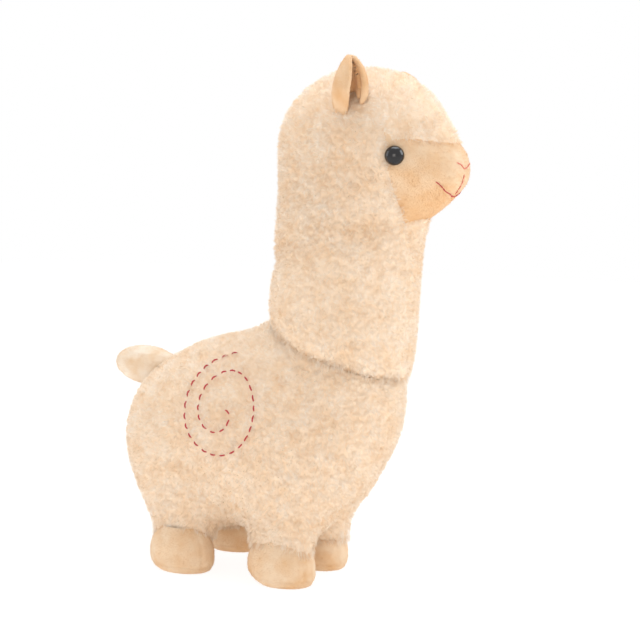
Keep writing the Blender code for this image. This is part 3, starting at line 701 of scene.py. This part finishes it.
def grow(co, tris, normals, keep, height, tufts, seams, hang_below, rng):
    """Returns each fleece fibre's triangle, and its root, middle, tip, side direction and tone.

    Fibres close to a seam lean over it, and hang down where the seam is lower than a height.
    """
    centres, ups = tufts
    rims, extra = seams
    count = int(area_of(co, tris, keep) * FIBRES_PER_MM2 / MM ** 2)
    picked, shares = scatter(co, tris, keep, count, rng)
    root = at_shares(co, tris, picked, shares)
    normal = unit(at_shares(normals, tris, picked, shares))
    tuft, _ = nearest(centres, root)
    up = ups[tuft]
    wild = unit(rng.normal(size=centres.shape))
    wild -= ups * (wild * ups).sum(axis=1)[:, None]
    comb = FLEECE_COMB - ups * (ups @ FLEECE_COMB)[:, None]
    lean = (wild * WILD_SHARE + comb * COMB_SHARE)[tuft]
    rim, gap = nearest(rims, root)
    edge = smooth_step(1 - gap / FRINGE)[:, None]
    towards = rims[rim] - root
    towards = unit(towards - normal * (towards * normal).sum(axis=1)[:, None])
    towards[rims[rim][:, 2] < hang_below] = (0.0, 0.0, -1.0)
    lean = lean * (1 - edge) + towards * edge * FRINGE_LEAN
    spin = np.where(rng.random(len(centres)) < 0.5, -1.0, 1.0)[tuft]
    off = root - centres[tuft]
    swirl = np.cross(up, off) * spin[:, None]
    length = FIBRE_LENGTH * (FIBRE_SPREAD[0] + FIBRE_SPREAD[1] * rng.random(count))[:, None]
    length = length * height[picked][:, None]
    length *= 1 + extra[rim][:, None] * edge
    ways = length, normal, lean, off, swirl, rng.normal(size=(count, 3)) * FIBRE_JITTER
    middle = fibre_point(FIBRE_MIDDLE, root, *ways)
    tip = fibre_point(FIBRE_TIP, root, *ways)
    across = unit(np.cross(tip - root, normal) + rng.normal(size=(count, 3)) * FIBRE_TWIST)
    tone = rng.normal(*TUFT_TONE, len(centres))[tuft] + rng.normal(0, FIBRE_TONE, count)
    return picked, (root, middle, tip, across, np.clip(tone, 0, 1))


def sewn_skin(panels, filling):
    """Returns a sewn form's cloth before its tufts.

    These are its vertices and triangles, each triangle's panel, each vertex's plushness, each
    triangle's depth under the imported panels, and points on the rims.
    """
    blockers = tree_of([*panels, filling, *(f"foot_band_{foot}" for foot in FEET)])
    bm, rims, (finder, owners) = welded_skin(panels, blockers)
    co, tris = dense(bm)
    found = [finder.find_nearest(place) for place in co[tris].mean(axis=1)]
    owner = np.array([owners[item[2]] for item in found])
    depth = np.array([item[3] for item in found])
    plushness = np.zeros(len(co))
    np.maximum.at(plushness, tris[starts_with(panels, "face")[owner]].ravel(), 1.0)
    return co, tris, owner, spread(plushness, tris, BORDER_PASSES), depth, rims


def pressed_down(fibres, line):
    """Returns fibres that are shortened where they stand close to a line of thread."""
    root, middle, tip, across, tone = fibres
    gap = nearest(line, root)[1]
    left = (PRESS_LEFT + (1 - PRESS_LEFT) * smooth_step(gap / PRESS_REACH - PRESS_FROM))[:, None]
    return root, root + (middle - root) * left, root + (tip - root) * left, across, tone


def curl_of(co, is_hood):
    """Returns how strongly fleece curls: even on the body, more from crown to nape on the hood."""
    down = smooth_step((CURL_FROM - co[:, 2]) / CURL_REACH)
    behind = smooth_step((co[:, 1] - NAPE_FROM) / NAPE_REACH)
    return np.where(is_hood, CROWN_CURL + (NAPE_CURL - CROWN_CURL) * down * behind, 1.0)


def dimpled(co, dimples):
    """Returns cloth that is drawn in round places along directions."""
    for place, direction in dimples:
        off = co - np.array(place)
        across = np.linalg.norm(np.cross(off, np.array(direction)), axis=1)
        near = np.linalg.norm(off, axis=1) < EYE_DIMPLE_REACH * 3
        depth = near * EYE_DIMPLE * np.exp(-(across / EYE_DIMPLE_REACH) ** 2)
        co = co - np.outer(depth, np.array(direction))
    return co


def plant_tufts(co, tris, normals, keep, rng):
    """Returns the middles of evenly spaced tufts, and the way that each one stands."""
    count = int(area_of(co, tris, keep) / TUFT_PITCH ** 2 * TUFT_TRIES)
    picked, shares = scatter(co, tris, keep, count, rng)
    centres = at_shares(co, tris, picked, shares)
    ups = unit(at_shares(normals, tris, picked, shares))
    kept = thinned(centres, TUFT_PITCH * TUFT_SPACING)
    return centres[kept], ups[kept]


def build_form(panels, filling, hang_below, rng, thread_line=None, dimples=(), face_lines=None):
    """Adds the cloth, pile and nap pieces of one sewn form. Returns its finished cloth."""
    co, tris, owner, plushness, depth, rims = sewn_skin(panels, filling)
    normals = vertex_normals(co, tris)
    seam = smooth_step(1 - nearest(rims, co)[1] / (FRINGE * FRINGE_ROOM))
    room = PILE_ROOM * (1 - seam * (1 - SEAM_ROOM_SHARE))
    low = co - normals * (room * (1 - plushness) + NAP_LENGTH * 0.5 * plushness)[:, None]
    hangs = seam * (co[:, 2] < hang_below)
    kind = panels[0].split("_")[0]
    low += normals * (1, 1, 0) * (RIM_FLARE[kind] * hangs)[:, None]
    low[:, 2] -= RIM_DROP[kind] * hangs
    low = dimpled(low, dimples)
    is_plush = starts_with(panels, "face")[owner]
    keep = np.where(is_plush | (depth > LINING_DEPTH), 0.0, 1.0)
    border = low[np.intersect1d(tris[is_plush], tris[~is_plush])]
    extra = np.repeat([FRINGE_EXTRA, 0.0], [len(rims), len(border)])
    rims = np.concatenate([rims, border])
    tufts = plant_tufts(low, tris, normals, keep, rng)
    gap = nearest(tufts[0], low)[1]
    rise = smooth_step(1 - gap / (TUFT_PITCH * TUFT_FOOT)) * (1 - plushness)
    hood = np.zeros(len(co), bool)
    hood[tris[starts_with(panels, "hood")[owner]]] = True
    raised = low + normals * (TUFT_RISE * rise * curl_of(co, hood))[:, None]
    # Tone: painted shade in the valleys between tufts and under the muzzle, added to the face's
    # even tone
    under = smooth_step((MUZZLE_SHADE_FROM - co[:, 2]) / MUZZLE_SHADE_REACH)
    tone = (1 - rise) * (1 - plushness) * VALLEY_PAINTED_SHADE + plushness * (FACE_TONE + under)
    height = np.array([PILE_OF.get(name.split("_")[0], 1.0) for name in panels])[owner]
    seams = rims, extra
    picked, fibres = grow(raised, tris, normals, keep, height, tufts, seams, hang_below, rng)
    if thread_line is not None:
        fibres = pressed_down(fibres, thread_line)
    for number, node in enumerate(panels):
        panel_co, faces, panel_tone = compact(raised, tris[owner == number], tone)
        is_face = node.startswith("face")
        share = np.full(len(panel_co), 0.6)
        mesh = new_mesh(node + "_cloth", panel_co, faces, {"share": share, "tone": panel_tone})
        material = plush_cloth if is_face else fleece_cloth
        cloth = add_piece(node + "_cloth", mesh, material, True, (node,))
        if is_face:
            add_nap(node + "_nap", panel_co, faces, 1.0, NAP_COMB_FACE, plush_nap,
                    rng, panel_tone, face_lines)
        else:
            add_pile(node + "_pile", fibres, owner[picked] == number)
    return raised, tris


def foot_profile(height, seam):
    """Returns the outline's share at a height: rounded below, drawn in under the fleece."""
    below = np.clip(1 - height / FOOT_RISE, 0, 1)
    above = np.clip((height - seam * 0.5) / (seam * 0.78), 0, 1)
    rounded_off = (1 - SOLE_SHARE) * np.sqrt(np.maximum(1 - below ** 2, 0))
    return SOLE_SHARE + rounded_off - FOOT_NECK * above ** 2


def foot_folds(height, turns):
    """Returns how deep a foot's crease goes in round a ring, and how deep its seams do."""
    above = height - CREASE_HEIGHT - CREASE_WAVE * np.sin(turns * 2 + 1)
    crease = CREASE_DEPTH * np.exp(-(above / CREASE_WIDTH) ** 2)
    off = (np.angle(np.exp(1j * (turns - mark))) / FOOT_SEAM_WIDTH for mark in FOOT_SEAMS)
    return crease, FOOT_SEAM_DEPTH * sum(np.exp(-angle ** 2) for angle in off)


def ring_triangles(rows, across, beside):
    """Returns the outward triangles between rings of points, from the lowest ring up."""
    tris = []
    for first in range(0, (rows - 1) * FOOT_SIDES, FOOT_SIDES):
        second = first + FOOT_SIDES
        tris += [np.stack([first + across, first + beside, second + beside], axis=1),
                 np.stack([first + across, second + beside, second + across], axis=1)]
    return np.concatenate(tris)


def build_foot(foot, rng):
    """Adds a stuffed foot: a band with soft creases and its nap, and a sole."""
    low, high, middle = node_box("foot_band_" + foot)
    half = (high - low) / 2
    middle[1] += FOOT_SHIFT[foot]
    top = high[2] + FOOT_RUN_UP
    lift = HEEL_LIFT[foot.split("_")[0]]
    turns = np.linspace(0, math.tau, FOOT_SIDES, endpoint=False)
    heel = np.clip(np.sin(turns), 0, 1) ** 1.5
    rows = []
    for share in np.linspace(0, 1, FOOT_ROWS) ** FOOT_ROW_POWER:
        height = share * top
        ring = foot_profile(height, high[2])
        crease, seam = foot_folds(height, turns)
        reach = 1 - (crease + seam * (height < high[2])) / half[0]
        lifted = height + lift * heel * (1 - share) ** 3
        rows.append(np.stack([middle[0] + half[0] * ring * reach * np.cos(turns),
                              middle[1] + half[1] * ring * reach * np.sin(turns),
                              lifted], axis=1))
    co = np.concatenate(rows)
    across = np.arange(FOOT_SIDES)
    beside = (across + 1) % FOOT_SIDES
    tris = ring_triangles(FOOT_ROWS, across, beside)
    band = add_plush(f"foot_{foot}_band", co, tris, 0.6, 0.0, plush_cloth, "foot_band_" + foot)
    add_nap(f"foot_{foot}_nap", co, tris, 1.0, NAP_COMB_DOWN, plush_nap, rng)
    rings = [rows[0]]
    for share in SOLE_RINGS:
        ring = middle + (rows[0] - middle) * share
        ring[:, 2] = rows[0][:, 2] * share ** 2 + SOLE_EDGE * (share == SOLE_RINGS[0])
        rings.append(ring)
    co = np.concatenate(rings + [np.array([[middle[0], middle[1], 0.0]])])
    last = (len(rings) - 1) * FOOT_SIDES
    centre = np.full(FOOT_SIDES, len(co) - 1)
    tris = np.concatenate([ring_triangles(len(rings), across, beside)[:, [0, 2, 1]],
                           np.stack([last + across, centre, last + beside], axis=1)])
    add_plush(f"foot_{foot}_sole", co, tris, SOLE_TONE, SOLE_TONE, plush_cloth, "sole_" + foot)


def build_ear(side, rng):
    """Adds the two layers of an ear, rounded and with nap."""
    low, high, middle = node_box("ear_back_" + side)
    for stem, tone in EAR_TONE.items():
        node = stem + side
        co, tris = rounded(node, EAR_CELL, EAR_PASSES)
        co = co + vertex_normals(co, tris) * EAR_PLUMP[stem]
        co[:, 2] = middle[2] + (co[:, 2] - middle[2]) * EAR_LENGTH_SHARE
        above = (co[:, 2] - middle[2]) / (high[2] - low[2]) + 0.5
        sink = EAR_ROOT_SINK * np.clip(1 - above / EAR_ROOT_SHARE, 0, 1) ** 1.5
        co[:, 0] -= math.copysign(1.0, middle[0]) * sink
        add_plush(node + "_cloth", co, tris, 0.2, tone, plush_cloth, node)
        add_nap(node + "_nap", co, tris, 1.0, NAP_COMB_UP, plush_nap, rng)


def build_tail(rng):
    """Adds the tail stub, rounded and with nap."""
    co, tris = rounded("tail", TAIL_CELL, TAIL_PASSES)
    tail = add_plush("tail_cloth", co, tris, 0.7, 0.0, tail_cloth, "tail")
    from_middle = co[tris].mean(axis=1) - node_box("tail")[2]
    outer = (from_middle * corner_cross(co, tris)).sum(axis=1) > 0
    add_nap("tail_nap", co, tris, outer * 1.0, NAP_COMB_BACK, tail_nap, rng)


def eye_line(node):
    """Returns the top of an eye's dome and the direction that it faces."""
    co, _ = node_arrays(node)
    gaps = np.linalg.norm(co[:, None] - co[None], axis=2)
    first, second = np.unravel_index(gaps.argmax(), gaps.shape)
    ends = []
    for index in (first, second):
        close = gaps[index] < SHANK_RADIUS * 2.1
        ends.append((co[close].mean(axis=0), co[index]))
    top = max((end[1] for end in ends), key=lambda place: abs(place[0]))
    foot = min((end[0] for end in ends), key=lambda place: abs(place[0]))
    return top, (top - foot) / np.linalg.norm(top - foot)


def build_eye(side):
    """Adds a polished eye dome with its rim and shank."""
    node = "eye_" + side
    top, facing = eye_line(node)
    co, _ = node_arrays(node)
    length = ((top - co) @ facing).max()
    outline = [(EYE_RADIUS * math.sin(turn), EYE_DOME * math.cos(turn) - EYE_DOME)
               for turn in np.linspace(0.0, math.pi / 2, EYE_ROWS)]
    outline += [(EYE_RADIUS, -EYE_DOME - EYE_RIM * 0.7), (EYE_RADIUS * 0.96, -EYE_DOME - EYE_RIM),
                (SHANK_RADIUS, -EYE_DOME - EYE_RIM), (SHANK_RADIUS, -length), (0.0, -length)]
    tilt = Vector(facing).to_track_quat("Z", "Y")
    bm = bmesh.new()
    rings = []
    for radius, up in outline:
        ring = []
        for index in range(EYE_SIDES):
            turn = math.tau * index / EYE_SIDES
            place = tilt @ Vector((radius * math.cos(turn), radius * math.sin(turn), up))
            ring.append(bm.verts.new(Vector(top) + place))
        rings.append(ring)
    for inner, outer in zip(rings, rings[1:]):
        for index in range(EYE_SIDES):
            beside = (index + 1) % EYE_SIDES
            bm.faces.new([inner[index], outer[index], outer[beside], inner[beside]])
    bmesh.ops.remove_doubles(bm, verts=bm.verts, dist=0.001 * MM)
    bmesh.ops.recalc_face_normals(bm, faces=bm.faces)
    mesh = bpy.data.meshes.new(node + "_dome")
    bm.to_mesh(mesh)
    bm.free()
    add_piece(node + "_dome", mesh, black, True, (node,))


def dashes(path, dash, gap, rng):
    """Returns where each stitch of a line starts and ends, along the line."""
    total = length_of(path)
    spans, start = [], 0.0
    while start + dash * LAST_DASH_SHARE < total:
        end = min(start + dash * (DASH_SPREAD[0] + DASH_SPREAD[1] * rng.random()), total)
        spans.append((start, end))
        start = end + gap * (GAP_SPREAD[0] + GAP_SPREAD[1] * rng.random())
    return spans


def along(path, places):
    """Returns points of a path at distances along it."""
    reach = np.concatenate([[0.0], np.cumsum(np.linalg.norm(np.diff(path, axis=0), axis=1))])
    return np.stack([np.interp(places, reach, path[:, axis]) for axis in range(3)], axis=1)


def add_stitches(name, path, tree, spans, radius, lay, sunk, tone, faint=0.0):
    """Adds stitches of two-ply thread along a path, each dipping into the cloth at its ends.

    A faint line sinks deeper towards its last end.
    """
    co, tris = [], []
    sides = THREAD_SIDES
    total = length_of(path)
    for start, end in spans:
        count = max(8, int((end - start) / THREAD_STEP))
        fading = (start - total + SPIRAL_FAINT_END) / (SPIRAL_FAINT_END * 0.4)
        deeper = faint * smooth_step(fading)
        share = np.linspace(0, 1, count)
        base = along(path, start + (end - start) * share)
        hits = [tree.find_nearest(place) for place in base]
        ground = np.array([hit[0] for hit in hits])
        normal = unit(spread_rows(np.array([hit[1] for hit in hits])))
        arch = np.sin(math.pi * share) ** 0.7
        middle = ground + normal * (sunk + (lay - sunk) * arch - deeper)[:, None]
        ahead = unit(np.gradient(middle, axis=0))
        side = unit(np.cross(ahead, normal))
        up = np.cross(side, ahead)
        thick = radius * (0.55 + 0.45 * np.sin(math.pi * share) ** 0.4)
        number = sum(len(part) for part in co)
        twist = (end - start) * share / THREAD_PLY_PITCH * math.tau
        rings = []
        for index in range(sides):
            turn = math.tau * index / sides
            ply = 1 + THREAD_PLY * np.cos(2 * (turn - twist / 2))
            outward = up * math.cos(turn) + side * math.sin(turn)
            rings.append(middle + outward * (thick * ply)[:, None])
        ring = np.stack(rings, axis=1).reshape(-1, 3)
        co += [ring, middle[:1], middle[-1:]]
        first = np.arange(count - 1)[:, None] * sides
        here = np.arange(sides)[None]
        beside = (here + 1) % sides
        halves = ([first + here, first + beside, first + sides + beside],
                  [first + here, first + sides + beside, first + sides + here])
        tris += [np.stack(half, axis=2).reshape(-1, 3) + number for half in halves]
        near, far = number + count * sides, number + count * sides + 1
        last = number + (count - 1) * sides
        flat = np.arange(sides)
        after = (flat + 1) % sides
        tris += [np.stack([np.full(sides, near), number + after, number + flat], axis=1),
                 np.stack([np.full(sides, far), last + flat, last + after], axis=1)]
    co = np.concatenate(co)
    mesh = new_mesh(name + "_threads", co, np.concatenate(tris), {"tone": np.full(len(co), tone)})
    add_piece(name + "_threads", mesh, thread, True, (name,))


def spread_rows(rows):
    """Returns rows evened out with the rows beside them."""
    for _ in range(3):
        padded = np.concatenate([rows[:1], rows, rows[-1:]])
        rows = (padded[:-2] + padded[1:-1] * 2 + padded[2:]) / 4
    return rows


def spiral_path(flank):
    """Returns the spiral's line on the right flank, inside the box of its packed thread."""
    low, high, _ = node_box("spiral_stitch")
    share = np.linspace(0, 1, SPIRAL_POINTS)
    turn = SPIRAL_END + math.tau * SPIRAL_TURNS * (1 - share)
    reach = SPIRAL_EYE + (1 - SPIRAL_EYE) * share ** SPIRAL_EASE
    flat = np.stack([reach * np.cos(turn), reach * np.sin(turn)], axis=1)
    shares = (flat - flat.min(axis=0)) / (flat.max(axis=0) - flat.min(axis=0))
    inset = THREAD_RADIUS
    y = high[1] - inset - shares[:, 0] * (high[1] - low[1] - inset * 2)
    z = low[2] + inset + shares[:, 1] * (high[2] - low[2] - inset * 2)
    inwards = Vector((1, 0, 0))
    return np.array([flank.ray_cast(Vector((low[0] * 2, b, c)), inwards)[0] for b, c in zip(y, z)])


def centre_line(node, axis, steps):
    """Returns the middle line of a packed thread that runs one way along an axis."""
    co, _ = node_arrays(node)
    edges = np.linspace(co[:, axis].min(), co[:, axis].max(), steps + 1)
    which = np.clip(np.digitize(co[:, axis], edges) - 1, 0, steps - 1)
    groups = [co[which == number] for number in range(steps)]
    line = np.array([group.mean(axis=0) for group in groups if len(group)])
    return spread_rows(along(line, np.linspace(0, 1, steps * 12) * length_of(line)))


def point_at(thing, place, aim):
    """Puts a lamp or a camera in the scene at a place, pointing at another."""
    thing.location = place
    thing.rotation_mode = "QUATERNION"
    thing.rotation_quaternion = (aim - place).to_track_quat("-Z", "Y")
    bpy.context.scene.collection.objects.link(thing)


def seen_directly(tree):
    """Returns 1 for rays from the camera and for those that gloss and glass send on."""
    path = tree.nodes.new("ShaderNodeLightPath")
    total = path.outputs["Is Camera Ray"]
    for other in ("Is Glossy Ray", "Is Transmission Ray"):
        either = tree.nodes.new("ShaderNodeMath")
        either.operation = "MAXIMUM"
        tree.links.new(total, either.inputs[0])
        tree.links.new(path.outputs[other], either.inputs[1])
        total = either.outputs["Value"]
    return total


def build_world():
    """Adds the surrounding light, which shows as white."""
    world = bpy.data.worlds.new("Studio")
    bpy.context.scene.world = world
    world.use_nodes = True
    tree = world.node_tree
    light = tree.nodes["Background"]
    light.inputs["Color"].default_value = (*SKY, 1.0)
    light.inputs["Strength"].default_value = SKY_STRENGTH
    white = tree.nodes.new("ShaderNodeBackground")
    white.inputs["Color"].default_value = (*WHITE, 1.0)
    mix = tree.nodes.new("ShaderNodeMixShader")
    tree.links.new(seen_directly(tree), mix.inputs["Fac"])
    show_mix(tree, mix, light.outputs["Background"], white.outputs["Background"], "World Output")


def build_floor():
    """Adds a pale floor that shows as white with a faint shadow."""
    corners = np.array([(-1, -1, 0), (1, -1, 0), (1, 1, 0), (-1, 1, 0)], float) * FLOOR_HALF
    mesh = new_mesh("floor", corners, np.array([[0, 1, 2, 3]]))
    floor = bpy.data.objects.new("floor", mesh)
    bpy.context.scene.collection.objects.link(floor)
    pale, tree, shader = principled("Pale floor", FLOOR_PALE, 0.9)
    shader.inputs["Emission Color"].default_value = (*FLOOR_GLOW, 1.0)
    shader.inputs["Emission Strength"].default_value = FLOOR_GLOW_STRENGTH
    white = tree.nodes.new("ShaderNodeEmission")
    white.inputs["Color"].default_value = (*WHITE, 1.0)
    white.inputs["Strength"].default_value = FLOOR_WHITE_STRENGTH
    share = tree.nodes.new("ShaderNodeMath")
    share.operation = "MULTIPLY"
    share.inputs[1].default_value = FLOOR_WHITE_SHARE
    tree.links.new(seen_directly(tree), share.inputs[0])
    mix = tree.nodes.new("ShaderNodeMixShader")
    tree.links.new(share.outputs["Value"], mix.inputs["Fac"])
    show_mix(tree, mix, shader.outputs["BSDF"], white.outputs["Emission"], "Material Output")
    mesh.materials.append(pale)


def camera_ways():
    """Returns the level directions to the camera's right and from the toy towards it."""
    across, ahead = math.cos(CAMERA_BEARING), math.sin(CAMERA_BEARING)
    return Vector((across, ahead, 0.0)), Vector((ahead, -across, 0.0))


def build_studio():
    """Adds the surroundings and four soft lamps: above, on either side, and low in front."""
    build_world()
    build_floor()
    right, forward = camera_ways()
    for name, (over, out, up, aim, size, power, colour) in LAMPS.items():
        data = bpy.data.lights.new(name, "AREA")
        data.shape = "SQUARE"
        data.size = size
        data.energy = power
        data.color = colour
        place = right * over + forward * out + Vector((0, 0, up))
        point_at(bpy.data.objects.new(name, data), place, Vector((0, 0, aim)))


def build_camera():
    """Adds the camera where the photograph's was."""
    data = bpy.data.cameras.new("camera")
    data.sensor_width = CAMERA_SENSOR
    data.lens = CAMERA_LENS
    data.shift_x = CAMERA_SHIFT
    data.clip_start = CAMERA_NEAR
    camera = bpy.data.objects.new("camera", data)
    axis = Vector((0.0, CAMERA_AXIS_Y, 0.0))
    place = axis + camera_ways()[1] * CAMERA_DISTANCE + Vector((0, 0, CAMERA_HEIGHT))
    point_at(camera, place, axis + Vector((0, 0, CAMERA_AIM)))
    bpy.context.scene.camera = camera


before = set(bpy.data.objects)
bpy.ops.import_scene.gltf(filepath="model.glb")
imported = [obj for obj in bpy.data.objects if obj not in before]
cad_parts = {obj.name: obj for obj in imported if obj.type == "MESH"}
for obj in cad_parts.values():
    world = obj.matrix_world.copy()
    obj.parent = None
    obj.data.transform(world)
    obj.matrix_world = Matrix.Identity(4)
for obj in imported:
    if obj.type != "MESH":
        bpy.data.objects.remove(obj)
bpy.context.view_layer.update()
rng = np.random.default_rng(SEED)

fleece_cloth = cloth_material("Fleece cloth", FLEECE_CLOTH, FLEECE_CLOTH, FLEECE_SHADE, 0.0, 900.0)
fleece_pile = cloth_material("Fleece pile", FLEECE_ROOT, FLEECE_TIP, FLEECE_SHADE, 0.35, 0.0)
plush_cloth = cloth_material("Short plush", PLUSH_CLOTH, PLUSH_TIP, PLUSH_SHADE, 0.0, 1500.0)
plush_nap = cloth_material("Short plush nap", PLUSH_ROOT, PLUSH_TIP, PLUSH_SHADE, 0.30, 0.0)
tail_cloth = cloth_material("Tail plush", TAIL_ROOT, TAIL_TIP, PLUSH_SHADE, 0.0, 1500.0)
tail_nap = cloth_material("Tail plush nap", TAIL_ROOT, TAIL_TIP, PLUSH_SHADE, 0.30, 0.0)
filling_white = grained_material("White filling", FILLING_WHITE, (0.8, 0.78, 0.74), 500.0, 0.95)
washer_white = grained_material("Washer plastic", WASHER_WHITE, (0.66, 0.66, 0.64), 900.0, 0.5)
thread = thread_material()
black = eye_material()

flank = tree_of(["body_panel_right"])
spiral = spiral_path(flank)
spiral_spans = dashes(spiral, SPIRAL_DASH, SPIRAL_GAP, rng)
pressed = np.concatenate([along(spiral, np.linspace(*span, 9)) for span in spiral_spans])
eye_dimples = [eye_line("eye_" + side) for side in SIDES]
eye_dimples = [(top - facing * EYE_DOME, facing) for top, facing in eye_dimples]
face_paths = {node: centre_line(node, *reading[:2]) for node, reading in FACE_THREADS.items()}
face_lines = np.concatenate(list(face_paths.values()))

build_form(BODY_PANELS, "body_filling", LEG_RIM_BELOW, rng, thread_line=pressed)
head_co, head_tris = build_form(HEAD_PANELS, "neck_and_head_filling", NECK_RIM_BELOW, rng,
                                dimples=eye_dimples, face_lines=face_lines)
for foot in FEET:
    build_foot(foot, rng)
for side in SIDES:
    build_ear(side, rng)
    build_eye(side)
build_tail(rng)
head_tree = BVHTree.FromPolygons(head_co.tolist(), head_tris.tolist())
add_stitches("spiral_stitch", spiral, flank, spiral_spans, THREAD_RADIUS, SPIRAL_LAY, SPIRAL_SUNK,
             0.0, SPIRAL_FAINT_DEPTH)
for node, path in face_paths.items():
    spans = dashes(path, FACE_DASH, FACE_GAP, rng)
    tone = FACE_THREADS[node][2]
    add_stitches(node, path, head_tree, spans, FACE_THREAD_RADIUS, FACE_LAY, 0.0, tone)
hidden = dict.fromkeys(("body_filling", "neck_and_head_filling", "tail_filling"), filling_white)
hidden.update(dict.fromkeys(("eye_washer_right", "eye_washer_left"), washer_white))
for node, material in hidden.items():
    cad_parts[node].data.materials.clear()
    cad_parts[node].data.materials.append(material)

build_studio()
build_camera()
bpy.context.scene.view_settings.view_transform = "Standard"
